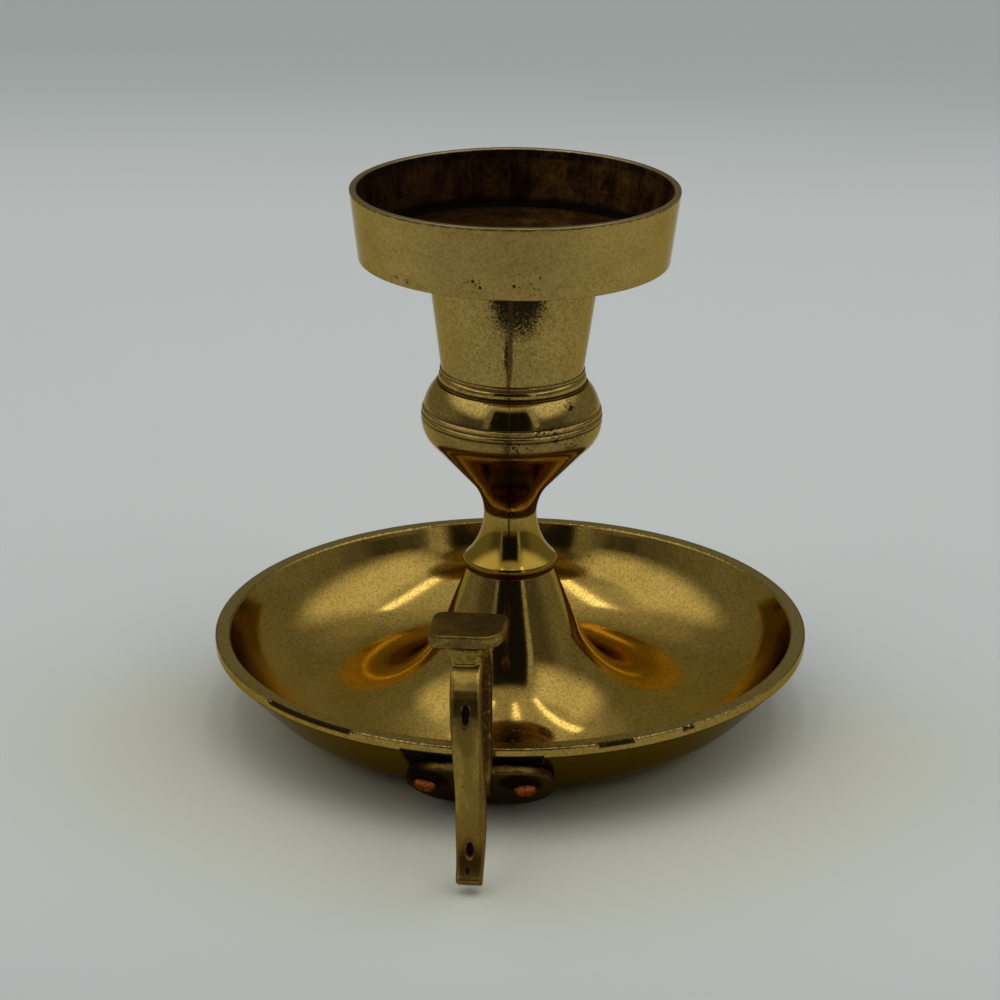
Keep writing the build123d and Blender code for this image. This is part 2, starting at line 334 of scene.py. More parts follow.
@dataclass
class Look:
    """What a finish hands to the shader: colour, polish and relief, changed by one stain after another."""

    at: Place
    colour: Value
    rough: Value
    relief: Value

    def stain(self, mask: Value, tint: Colour | Value, rough: float | Value) -> None:
        """Lay a dull stain over what is there.

        Args:
            mask: Where the stain is, from 0 to 1.
            tint: Its colour.
            rough: Its roughness.
        """
        mask = mask.least(1.0).most(0.0)
        self.colour = self.at.blend(mask, self.colour, tint)
        self.rough = self.rough * (1.0 - mask) + mask * rough


@dataclass(frozen=True)
class Brass:
    """Aged polished brass, plain: the other finishes add their own marks to it."""

    name: str
    clean: Colour = (0.425, 0.281, 0.062)
    dull: Colour = (0.28, 0.176, 0.034)
    brown: Colour = (0.085, 0.045, 0.014)
    soot: Colour = (0.012, 0.009, 0.006)
    edge_tint: Colour = (0.80, 0.70, 0.50)
    haze: float = 0.05
    mottle: float = 0.55
    polish: float = 0.055
    pitting: float = 0.10
    relief: float = 0.05
    leaning: bool = False

    def ground(self, at: Place) -> Look:
        """Polished metal with faint blotches, wipe marks and casting pits.

        Args:
            at: The surface.

        Returns:
            The look before the piece's own marks.
        """
        blotch = at.cloud(9.0, 4.0, 0.6).ramp(0.35, 0.75)
        speck = at.cloud(0.8, 3.0, 0.7).ramp(0.42, 0.66)
        grain = at.cloud(0.40, 2.0, 0.6).ramp(0.38, 0.68)
        age = blotch * 0.35 + speck * self.mottle + grain * self.mottle * 0.8
        colour = at.blend(age, self.clean, self.dull)
        wipe = at.cloud(1.0, 2.0, 0.5, at.wrapped(0.35, 5.0))
        rough = self.polish + blotch * 0.035 + grain * self.haze + (wipe - 0.5) * 0.08
        relief = (at.cloud(16.0, 1.0) - 0.5) * 0.45 + (wipe - 0.5) * 0.012 + (speck + grain) * 0.02
        crowd = at.cloud(15.0, 2.0, 0.6).ramp(0.50, 0.78) * self.pitting
        holes = at.pits(1.5, 0.20, crowd).most(at.pits(0.75, 0.24, crowd * 1.3))
        colour = at.blend(holes * 0.9, colour, self.soot)
        return Look(at, colour, rough + holes * 0.4, relief - holes * 0.16)

    def marks(self, look: Look) -> None:
        """The piece's own wear; plain brass has none."""

    def material(self) -> bpy.types.Material:
        """Make the Blender material."""
        made = bpy.data.materials.new(self.name)
        made.use_nodes = True
        at = Place(made, self.leaning)
        look = self.ground(at)
        self.marks(look)
        shader = made.node_tree.nodes["Principled BSDF"]
        bump = at.node("Bump", None, {"Strength": 1.0, "Distance": self.relief * MM, "Height": look.relief})
        wires = {"Base Color": look.colour, "Roughness": look.rough, "Normal": bump}
        shader.inputs["Metallic"].default_value = 1.0
        shader.inputs["Specular Tint"].default_value = (*self.edge_tint, 1.0)
        for name, value in wires.items():
            made.node_tree.links.new(value.socket, shader.inputs[name])
        return made


@dataclass(frozen=True)
class PanBrass(Brass):
    """The pan: a dull rim land with chipped edges, a dark groove, painted shadow with some grime round the
    riveted plate, and painted dark reflections high on the back wall.
    """

    clean: Colour = (0.460, 0.305, 0.072)
    edge_tint: Colour = (0.76, 0.64, 0.40)
    haze: float = 0.06
    rim_height: float = 21.0
    rim_inner: float = 66.65
    rim_outer: float = 70.0
    band: float = 2.3

    def marks(self, look: Look) -> None:
        """Rim, groove, plate and trough.

        Args:
            look: The plain metal, which is stained.
        """
        at = look.at
        ragged = at.cloud(3.2, 4.0, 0.65)
        fine = at.cloud(0.8, 3.0, 0.65)
        land = at.reach.ramp(self.rim_inner - 0.1, self.rim_inner + 0.2) * at.z.ramp(20.2, 20.6)
        grey = abs(at.turn).ramp(15.0, 100.0) * 0.5 + ragged * 0.4
        look.stain(land * grey, (0.38, 0.33, 0.165), 0.28)
        look.stain(land * (1.0 - grey) * fine.ramp(0.3, 0.7) * 0.6, (0.19, 0.125, 0.04), 0.3)
        edges = at.reach.near(self.rim_inner + 0.1, 0.10, 0.22)
        edges = edges.most(at.reach.near(self.rim_outer - 0.3, 0.08, 0.2))
        look.stain(edges * at.z.ramp(20.0, 20.6) * fine.ramp(0.3, 0.6) * 0.7, self.brown, 0.5)
        corner = at.reach.ramp(69.25, 69.5) * at.z.ramp(19.7, 20.2)
        chips = at.turn.near(-34.0, 7.0, 8.0) * 1.5 + at.turn.near(25.5, 2.0, 4.0) * 1.2
        chips = (chips + at.turn.near(40.0, 0.8, 2.8)) * 0.40 + at.cloud(9.0, 1.0).ramp(0.58, 0.74) * 0.16
        chips = (chips + fine * 0.3 + ragged * 0.4).ramp(0.66, 0.76)
        look.stain(corner * chips * 0.95, self.soot, 0.5)
        outside = (at.reach - (at.z * 0.9325 + 52.53)).ramp(-0.7, -0.4)
        outer = outside * at.z.ramp(18.4, 18.0) * at.z.ramp(1.0, 3.0)
        outer = outer * (ragged * 0.5 + 0.4 + at.turn.ramp(5.0, 60.0) * 0.3)
        look.stain(outer, (0.15, 0.088, 0.009), 0.20)
        # Lighter, rougher patches on the inner wall to the left and right of the cone.
        pale_patches = at.turn.near(48.0, 18.0, 18.0).most(at.turn.near(-66.0, 16.0, 20.0) * 0.8)
        pale_patches = pale_patches * at.reach.near(54.0, 7.0, 7.0) * (1.0 - outside) * (ragged * 0.7 + 0.3)
        look.stain(pale_patches * 0.75, (0.52, 0.37, 0.115), 0.26)
        # Near-black patches high on the back wall: painted dark reflections.
        painted_dark_reflection = (at.turn.near(-146.5, 4.0, 5.0) * 0.75).most(at.turn.near(160.0, 2.5, 4.0) * 0.8)
        painted_dark_reflection = painted_dark_reflection * at.z.ramp(15.6, 16.8) * at.z.ramp(20.0, 19.4) * at.reach.ramp(62.0, 63.0)
        look.stain(painted_dark_reflection * (ragged * 0.5 + 0.55), (0.035, 0.026, 0.006), 0.16)
        groove = at.z.near(self.rim_height - self.band - 0.2, 0.22, 0.3) * at.reach.ramp(69.0, 69.3)
        look.stain(groove * 0.85, self.soot, 0.6)
        # Near-black round the riveted plate: painted shadow under the rim, with some grime.
        plate = (at.turn.near(-0.9, 11.0, 3.5) + (ragged - 0.5) * 0.5).ramp(0.2, 0.5) * outside
        plate = plate * at.z.ramp(1.0, 2.0) * at.z.ramp(20.4, 19.4)
        look.stain(plate * (ragged * 0.3 + 0.8), (0.004, 0.003, 0.002), 0.7)
        specks = at.pits(3.4, 0.11, at.cloud(20.0, 2.0).ramp(0.35, 0.70) * 0.6) * at.reach.ramp(67.0, 66.0)
        look.stain(specks * 0.8, self.brown, 0.5)
        under = at.z.ramp(9.0, 2.0) * at.reach.ramp(43.0, 52.0) * ragged.ramp(0.3, 0.75)
        look.stain(under * 0.25, self.brown, 0.4)


@dataclass(frozen=True)
class StemBrass(Brass):
    """The stem: residue under the cup, a dark casting seam, grime in the turned lines, and a painted dark
    reflection on the front of the lower bulb.
    """

    clean: Colour = (0.470, 0.325, 0.093)
    dull: Colour = (0.29, 0.188, 0.045)
    pitting: float = 0.30
    mottle: float = 0.68
    leaning: bool = True
    seam: float = 4.2
    line_heights: tuple[float, ...] = (37.3, 81.65, 84.2, 85.1, 73.3, 74.65, 76.0)

    def marks(self, look: Look) -> None:
        """Residue, seam, tarnish and lines.

        Args:
            look: The plain metal, which is stained.
        """
        at = look.at
        ragged = at.cloud(0.8, 3.0, 0.7)
        patch = at.cloud(7.0, 3.0, 0.6)
        crowd = at.turn.near(9.0, 4.0, 30.0) * at.z.ramp(85.0, 111.0)
        residue = (crowd * 0.76 + at.cloud(0.5, 3.0, 0.7) * 1.1 + (patch - 0.5) * 0.2).ramp(0.76, 1.12)
        look.stain(residue * crowd.ramp(0.05, 0.25) * 0.95, self.soot, 0.5)
        dots = at.turn.near(14.0, 22.0, 16.0) * at.z.near(93.0, 9.0, 8.0)
        dots = dots * at.cloud(0.55, 2.0, 0.6).ramp(0.60, 0.70)
        look.stain(dots * 0.6, self.brown, 0.5)
        holes = at.turn.near(-15.3, 3.0, 3.0) * at.z.near(92.1, 1.6, 1.6)
        holes = holes.most(at.turn.near(52.0, 2.0, 3.0) * at.z.near(104.0, 1.0, 1.5))
        look.stain(at.pits(0.9, 0.32, holes * 0.5) * 0.9, self.soot, 0.6)
        drip = at.turn.near(self.seam, 0.5, 2.0) * at.z.ramp(84.0, 92.0) * (ragged * 0.5 + 0.6)
        look.stain(drip * 0.85, self.brown, 0.4)
        look.stain(at.z.ramp(51.0, 46.0) * 0.8, (0.34, 0.212, 0.024), 0.10)
        line = at.turn.near(self.seam, 0.12, 0.35) * at.z.ramp(50.0, 60.0)
        look.stain(line * 0.6, self.brown, 0.5)
        # Dark brown and near-black on the front of the lower bulb: a painted dark reflection.
        painted_belly_reflection = at.z.near(61.0, 7.0, 3.0) * at.turn.near(5.0, 30.0, 28.0) * (patch * 0.5 + 0.6)
        look.stain(painted_belly_reflection * 0.8, (0.10, 0.036, 0.009), 0.20)
        deep = at.z.near(60.5, 4.0, 4.0) * at.turn.near(6.0, 12.0, 18.0)
        look.stain(deep * 0.85, (0.022, 0.006, 0.003), 0.16)
        band = at.z.near(73.0, 3.2, 1.2) * at.turn.near(5.0, 44.0, 22.0) * (patch * 0.7 + 0.5)
        look.stain(band * 0.5, (0.13, 0.075, 0.028), 0.25)
        for height in self.line_heights:
            line = at.z.near(height, 0.08, 0.14)
            look.stain(line * (patch * 0.8 + 0.2), self.soot, 0.6)
        crust = at.z.near(73.8, 2.2, 1.5) * at.turn.near(30.0, 22.0, 10.0) * patch.ramp(0.4, 0.6)
        crust = (crust + at.z.near(80.0, 0.6, 1.2) * at.turn.near(50.0, 2.0, 4.0)) * ragged.ramp(0.50, 0.58)
        look.stain(crust * 0.9, self.soot, 0.7)
        scab = at.z.near(79.6, 0.4, 0.8) * at.turn.near(50.0, 1.5, 3.0) * ragged.ramp(0.40, 0.48)
        look.stain(scab * 0.9, (0.035, 0.010, 0.005), 0.5)


@dataclass(frozen=True)
class CupBrass(Brass):
    """The cup: brown tarnish inside with painted shade in its floor corner and on one side of its back
    wall, a scraped rim, pits on the outer wall's lower edge, and an underside painted lighter to lift its
    shade.
    """

    clean: Colour = (0.470, 0.325, 0.093)
    dull: Colour = (0.29, 0.188, 0.045)
    pitting: float = 0.16
    mottle: float = 0.42
    leaning: bool = True
    floor: float = 114.32
    rim: float = 127.62
    mid_low: float = 34.7
    flare: float = 0.1205
    base: float = 111.02

    def marks(self, look: Look) -> None:
        """Inside, rim, underside and pits.

        Args:
            look: The plain metal, which is stained.
        """
        at = look.at
        ragged = at.cloud(1.4, 4.0, 0.7)
        blotch = at.cloud(6.0, 4.0, 0.65, at.stretched((1.0, 1.0, 0.55)))
        scratch = at.cloud(1.0, 2.0, 0.6, at.wrapped(0.9, 0.12))
        top = at.z.most(at.level)
        wall = (at.z - self.base) * self.flare + self.mid_low
        inside = (wall - at.reach).ramp(-0.2, 0.2) * at.z.ramp(self.base + 1.0, self.base + 2.0)
        mask = inside * top.ramp(self.rim + 0.1, self.rim - 0.6)
        dark = at.blend(blotch.ramp(0.35, 0.70), (0.062, 0.026, 0.009), (0.31, 0.16, 0.042))
        dark = at.blend(scratch.ramp(0.54, 0.76) * 0.4, dark, (0.36, 0.20, 0.07))
        dark = at.blend(ragged.ramp(0.50, 0.36) * 0.6, dark, (0.03, 0.014, 0.007))
        dark = at.blend(at.z.ramp(self.floor + 0.8, self.floor + 0.3) * 0.45, dark, (0.035, 0.02, 0.008))
        look.stain(mask, dark, ragged * 0.2 + 0.34)
        look.relief = look.relief + mask * (ragged - 0.5) * 1.2
        # Darker on one side of the inner wall: painted shade.
        painted_inner_shade = inside * at.turn.near(-125.0, 35.0, 40.0) * (blotch * 0.6 + 0.3)
        look.stain(painted_inner_shade * 0.75, (0.022, 0.008, 0.004), 0.45)
        fringe = inside * top.near(self.rim - 1.3, 0.5, 0.8) * ragged.ramp(0.38, 0.56)
        look.stain(fringe * 0.9, self.soot, 0.7)
        # Near-black in the corner of the cup's floor and wall: painted shade.
        corner = inside * at.z.ramp(self.floor + 3.6, self.floor + 0.6) * at.reach.ramp(30.5, 33.0)
        look.stain(corner * (ragged * 0.4 + 0.75), (0.006, 0.004, 0.003), 0.8)
        # A lighter colour on the underside: painted light that lifts the shade there.
        under = at.z.ramp(self.base + 0.3, self.base + 0.1) * at.reach.ramp(35.3, 35.0)
        look.stain(under, (0.50, 0.36, 0.12), 0.14)
        scraped = top.ramp(self.rim - 0.35, self.rim - 0.1)
        look.stain(scraped * (ragged * 0.5 + 0.5), (0.24, 0.20, 0.125), 0.35)
        edge = top.near(self.rim - 0.42, 0.10, 0.25) * ragged.ramp(0.32, 0.60)
        look.stain(edge * 0.7, self.soot, 0.5)
        crowd = at.turn.near(-9.5, 3.5, 2.0) * at.z.near(115.2, 1.5, 1.5)
        crowd = crowd.most(at.turn.near(10.0, 4.5, 2.5) * at.z.near(114.4, 2.4, 1.6))
        crowd = crowd.most(at.cloud(18.0, 1.0).ramp(0.6, 0.9) * 0.2)
        pocks = at.pits(1.8, 0.27, crowd * 0.40).most(at.pits(0.8, 0.30, crowd * 0.28)) * (1.0 - inside)
        look.stain(pocks * 0.95, self.soot, 0.6)
        look.relief = look.relief - pocks * 2.0
        smudge = at.z.near(112.3, 0.5, 1.2) * ragged.ramp(0.5, 0.66)
        smudge = smudge * (at.turn.near(-36.0, 4.0, 5.0) * 0.8 + 0.15)
        look.stain(smudge * (1.0 - inside), self.brown, 0.5)
        mottle = at.cloud(5.0, 4.0, 0.65, at.stretched((0.6, 0.6, 1.6))).ramp(0.46, 0.74)
        mottle = mottle * (1.0 - inside) * (1.0 - scraped)
        look.stain(mottle * 0.34, (0.26, 0.155, 0.04), 0.16)


@dataclass(frozen=True)
class HookBrass(Brass):
    """The finger hook: filed front, brown speckled sides, a dark thumb pad, and painted shade with some
    grime on the plate and round the rivets.
    """

    clean: Colour = (0.40, 0.265, 0.055)
    polish: float = 0.20
    pitting: float = 0.45
    half_width: float = 3.2
    pad_top: float = 54.6

    def marks(self, look: Look) -> None:
        """Front, sides, pad, plate and nicks.

        Args:
            look: The plain metal, which is stained.
        """
        at = look.at
        ragged = at.cloud(1.1, 4.0, 0.7)
        patch = at.cloud(5.0, 3.0, 0.6)
        fleck = at.cloud(0.6, 3.0, 0.7)
        worn = at.cloud(3.0, 3.0, 0.6, at.stretched((1.0, 1.0, 0.3)))
        strap = at.z.ramp(47.0, 45.0) * at.z.ramp(14.0, 20.0).most(at.y.ramp(-80.0, -84.0))
        look.stain(strap * worn.ramp(0.34, 0.58) * 0.75, (0.20, 0.130, 0.028), 0.30)
        side = abs(at.x - 1.0).ramp(self.half_width - 0.75, self.half_width - 0.3) * strap
        look.stain(side * (ragged * 0.9 + 0.1), (0.11, 0.055, 0.018), 0.5)
        leg = at.y.ramp(-77.0, -75.0) * strap
        look.stain(leg * ragged.ramp(0.30, 0.50) * 0.95, (0.070, 0.032, 0.010), 0.5)
        look.stain(side.most(leg) * fleck.ramp(0.58, 0.70) * 0.7, (0.34, 0.15, 0.04), 0.4)
        pad = at.z.ramp(self.pad_top - 0.7, self.pad_top - 0.1)
        look.stain(pad * (patch * 0.4 + 0.6), (0.155, 0.103, 0.030), 0.42)
        look.stain(pad * (patch * 0.5 + ragged * 0.6).ramp(0.46, 0.66) * 0.7, (0.045, 0.028, 0.012), 0.5)
        lip = at.z.near(53.0, 1.4, 0.6) * (1.0 - pad)
        look.stain(lip * (patch * 0.6 + ragged * 0.6).ramp(0.40, 0.72) * 0.85, (0.11, 0.065, 0.022), 0.45)
        neck = at.z.near(50.5, 1.8, 1.4)
        look.stain(neck * ragged.ramp(0.35, 0.7) * 0.6, self.brown, 0.5)
        # The plate's face darker, more so on the left: painted shade on a face that looks down, with some
        # grime.
        plate = at.z.ramp(17.0, 14.0) * at.y.ramp(-76.0, -72.0)
        look.stain(plate * (ragged * 0.4 + 0.65), (0.036, 0.017, 0.005), 0.42)
        look.stain(plate * at.x.ramp(-2.0, -8.0) * (patch * 0.6 + 0.4), (0.03, 0.017, 0.007), 0.5)
        # Near-black ovals round the rivets: painted shadow in the recesses by the rivet ends.
        hole = at.oval((-11.2, 11.0), (4.6, 3.6)).most(at.oval((9.4, 11.0), (4.6, 3.6))) * plate
        look.stain(hole * (ragged * 0.3 + 0.8), (0.005, 0.003, 0.002), 0.7)
        face = at.y.ramp(-86.0, -88.0)
        look.stain(face * at.z.ramp(24.0, 8.0) * (patch * 0.5 + 0.15), (0.19, 0.105, 0.020), 0.35)
        look.stain(face * at.oval((1.2, 36.5), (2.2, 6.0)) * 0.55, (0.14, 0.085, 0.018), 0.35)
        look.stain(face * at.oval((1.6, 8.0), (1.6, 4.0)) * 0.6, (0.13, 0.06, 0.016), 0.4)
        nicks = at.oval((0.8, 39.5), (0.7, 2.4)).most(at.oval((1.7, 9.1), (0.7, 1.5)))
        nicks = nicks.most(at.oval((1.5, 5.3), (0.45, 0.6)))
        look.stain(nicks * face * 0.97, self.soot, 0.6)


@dataclass(frozen=True)
class DullBrass(Brass):
    """Fittings that nobody polishes: the candle tube, the tenon and its washer."""

    clean: Colour = (0.26, 0.16, 0.055)
    dull: Colour = (0.09, 0.05, 0.018)
    polish: float = 0.36


@dataclass(frozen=True)
class Copper(Brass):
    """Hammered copper rivet ends with grime round them."""

    clean: Colour = (0.56, 0.15, 0.040)
    dull: Colour = (0.30, 0.060, 0.016)
    edge_tint: Colour = (0.85, 0.50, 0.30)
    polish: float = 0.30
    pitting: float = 0.30
    relief: float = 0.35


class Workshop:
    """Modelling steps that every piece shares."""

    @staticmethod
    def clear() -> None:
        """Leave nothing selected and object mode on."""
        if bpy.context.object and bpy.context.object.mode != "OBJECT":
            bpy.ops.object.mode_set(mode="OBJECT")
        bpy.ops.object.select_all(action="DESELECT")

    @staticmethod
    def only(piece: bpy.types.Object) -> None:
        """Select one object and make it the active one."""
        Workshop.clear()
        piece.select_set(True)
        bpy.context.view_layer.objects.active = piece

    @staticmethod
    def modify(piece: bpy.types.Object, kind: str, **settings: object) -> None:
        """Add a modifier and apply it.

        Args:
            piece: The piece to change.
            kind: Blender's name of the modifier.
            settings: The modifier's settings.
        """
        Workshop.only(piece)
        modifier = piece.modifiers.new(kind.lower(), kind)
        for key, value in settings.items():
            setattr(modifier, key, value)
        bpy.ops.object.modifier_apply(modifier=modifier.name)

    @staticmethod
    def close(piece: bpy.types.Object) -> None:
        """Merge doubles and turn the faces outwards."""
        Workshop.only(piece)
        bpy.ops.object.mode_set(mode="EDIT")
        bpy.ops.mesh.select_all(action="SELECT")
        bpy.ops.mesh.remove_doubles(threshold=1e-6)
        bpy.ops.mesh.normals_make_consistent(inside=False)
        bpy.ops.object.mode_set(mode="OBJECT")

    @staticmethod
    def smooth(piece: bpy.types.Object, angle: float = 32.0) -> None:
        """Shade smooth, with edges sharper than the angle kept."""
        Workshop.only(piece)
        bpy.ops.object.shade_smooth_by_angle(angle=math.radians(angle))

    @staticmethod
    def apply_place(piece: bpy.types.Object) -> None:
        """Move the object's place into its mesh."""
        Workshop.only(piece)
        bpy.ops.object.transform_apply(location=True, rotation=True, scale=True)

    @staticmethod
    def turn_profile(name: str, profile: list[Point], around: int = 288) -> bpy.types.Object:
        """Turn a closed profile about the Z axis, ring by ring.

        Args:
            name: The piece's name.
            profile: (radius, height) points in millimetres; the last joins the first.
            around: Points round each ring.

        Returns:
            The turned piece.
        """
        Workshop.clear()
        radius, height = profile[0]
        bpy.ops.mesh.primitive_circle_add(vertices=around, radius=radius * MM, location=(0, 0, height * MM))
        piece = bpy.context.object
        piece.name = name
        Workshop.apply_place(piece)
        bpy.ops.object.mode_set(mode="EDIT")
        bpy.ops.mesh.select_all(action="SELECT")
        for next_radius, next_height in [*profile[1:], profile[0]]:
            step = (0, 0, (next_height - height) * MM)
            bpy.ops.mesh.extrude_region_move(TRANSFORM_OT_translate={"value": step})
            scale = next_radius / radius
            bpy.ops.transform.resize(value=(scale, scale, 1), center_override=(0, 0, next_height * MM))
            radius, height = next_radius, next_height
        bpy.ops.object.mode_set(mode="OBJECT")
        Workshop.close(piece)
        return piece


class Profile:
    """A turned outline, drawn point by point as (radius, height)."""

    long_run: float = 1.5
    hold: float = 0.25

    def __init__(self, start: Point) -> None:
        """Begin at a point."""
        self.points: list[Point] = [start]

    def line(self, *ends: Point) -> Profile:
        """Straight runs to each end in turn; a long run has a point close to both ends, so it shades flat.

        Args:
            ends: Where the runs end.

        Returns:
            This profile.
        """
        for end in ends:
            start = Vector(self.points[-1])
            run = Vector(end) - start
            if run.length > self.long_run:
                hold = run.normalized() * self.hold
                self.points += [tuple(start + hold), tuple(start + run - hold)]
            self.points.append(end)
        return self

    def arc(self, end: Point, heading: Point, steps: int = 16) -> Profile:
        """A round run that leaves along a heading and arrives at an end.

        Args:
            end: Where the arc ends.
            heading: The direction that it starts in.
            steps: How many pieces it is drawn in.

        Returns:
            This profile.
        """
        start = Vector(self.points[-1])
        chord = Vector(end) - start
        ahead = Vector(heading).normalized()
        side = Vector((-ahead.y, ahead.x))
        radius = chord.length_squared / (2.0 * chord.dot(side))
        centre = start + side * radius
        sweep = 2.0 * math.atan2(chord.dot(side), chord.dot(ahead))
        spoke = start - centre
        for step in range(1, steps + 1):
            angle = sweep * step / steps
            turned = Vector((
                spoke.x * math.cos(angle) - spoke.y * math.sin(angle),
                spoke.x * math.sin(angle) + spoke.y * math.cos(angle),
            ))
            self.points.append(tuple(centre + turned))
        return self

    def back(self, points: list[Point]) -> Profile:
        """Follow another outline backwards."""
        self.points.extend(reversed(points))
        return self


@dataclass
class Pan:
    """The dished pan and the cone that carries the stem."""

    radius: float = 70.0
    height: float = 21.0
    floor: float = 2.5
    land: float = 3.35
    band: float = 2.3
    groove: float = 0.5
    bowl_angle: float = 64.0
    under_angle: float = 47.0
    under_radius: float = 28.0
    cone_height: float = 36.0
    cone_top: float = 10.0
    cone_angle: float = 22.0
    flare: float = 28.0
    cone_wall: float = 2.5
    cone_top_wall: float = 4.0
    ring: float = 8.0
    hole: float = 3.25
    finish: Brass = field(default_factory=lambda: PanBrass("pan_brass"))

    def profile(self) -> list[Point]:
        """The closed outline of the pan's section."""
        bowl, cone, under = (math.radians(a) for a in (self.bowl_angle, self.cone_angle, self.under_angle))
        inner = self.radius - self.land
        cone_foot = self.cone_top + (self.cone_height - self.floor) * math.tan(cone)
        tangent = self.flare * math.tan((math.pi / 2 - cone) / 2)
        trough = cone_foot + tangent
        wall_foot = inner - (self.height - self.floor) / math.tan(bowl)
        run = wall_foot - trough
        flare_start = (cone_foot - tangent * math.sin(cone), self.floor + tangent * math.cos(cone))
        bowl_end = (wall_foot + run * math.cos(bowl), self.floor + run * math.sin(bowl))
        wall_top = (self.radius - self.groove, self.height - self.band - self.groove)
        corner = wall_top[0] - wall_top[1] / math.tan(under)
        turn = self.under_radius * math.tan(under / 2)
        wall_end = (corner + turn * math.cos(under), turn * math.sin(under))
        base_out = corner - turn
        base_in = base_out - self.ring
        hollow = self.flare + self.cone_wall
        centre = (trough, self.floor + self.flare)
        edge = centre[1] - math.sqrt(hollow**2 - (trough - base_in) ** 2)
        hollow_end = (centre[0] - hollow * math.cos(cone), centre[1] - hollow * math.sin(cone))
        ceiling = self.cone_height - self.cone_top_wall
        ceiling_radius = hollow_end[0] - (ceiling - hollow_end[1]) * math.tan(cone)
        hollow_up = Profile(hollow_end).arc((base_in, edge), (math.sin(cone), -math.cos(cone)), 14).points
        return (
            Profile((self.hole, self.cone_height))
            .line((self.cone_top - 0.2, self.cone_height))
            .line((self.cone_top + 0.05, self.cone_height - 0.25), flare_start)
            .arc((trough, self.floor), (math.sin(cone), -math.cos(cone)), 30)
            .arc(bowl_end, (1, 0), 26)
            .line((inner - 0.15, self.height - 0.2), (inner + 0.15, self.height))
            .line((self.radius - self.groove, self.height))
            .arc((self.radius, self.height - self.groove), (1, 0), 5)
            .line((self.radius, self.height - self.band + 0.25))
            .line((self.radius - 0.1, self.height - self.band))
            .line((wall_top[0] - 0.15, wall_top[1] + 0.1), wall_end)
            .arc((base_out, 0), (-math.cos(under), -math.sin(under)), 18)
            .line((base_in, 0))
            .back(hollow_up)
            .line((ceiling_radius, ceiling), (self.hole, ceiling))
            .points
        )

    def build(self) -> bpy.types.Object:
        """Turn the pan and dress it."""
        piece = Workshop.turn_profile("turned_pan", self.profile(), 360)
        Workshop.smooth(piece)
        piece.data.materials.append(self.finish.material())
        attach(piece, Body.STAND.value)
        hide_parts("pan")
        return piece


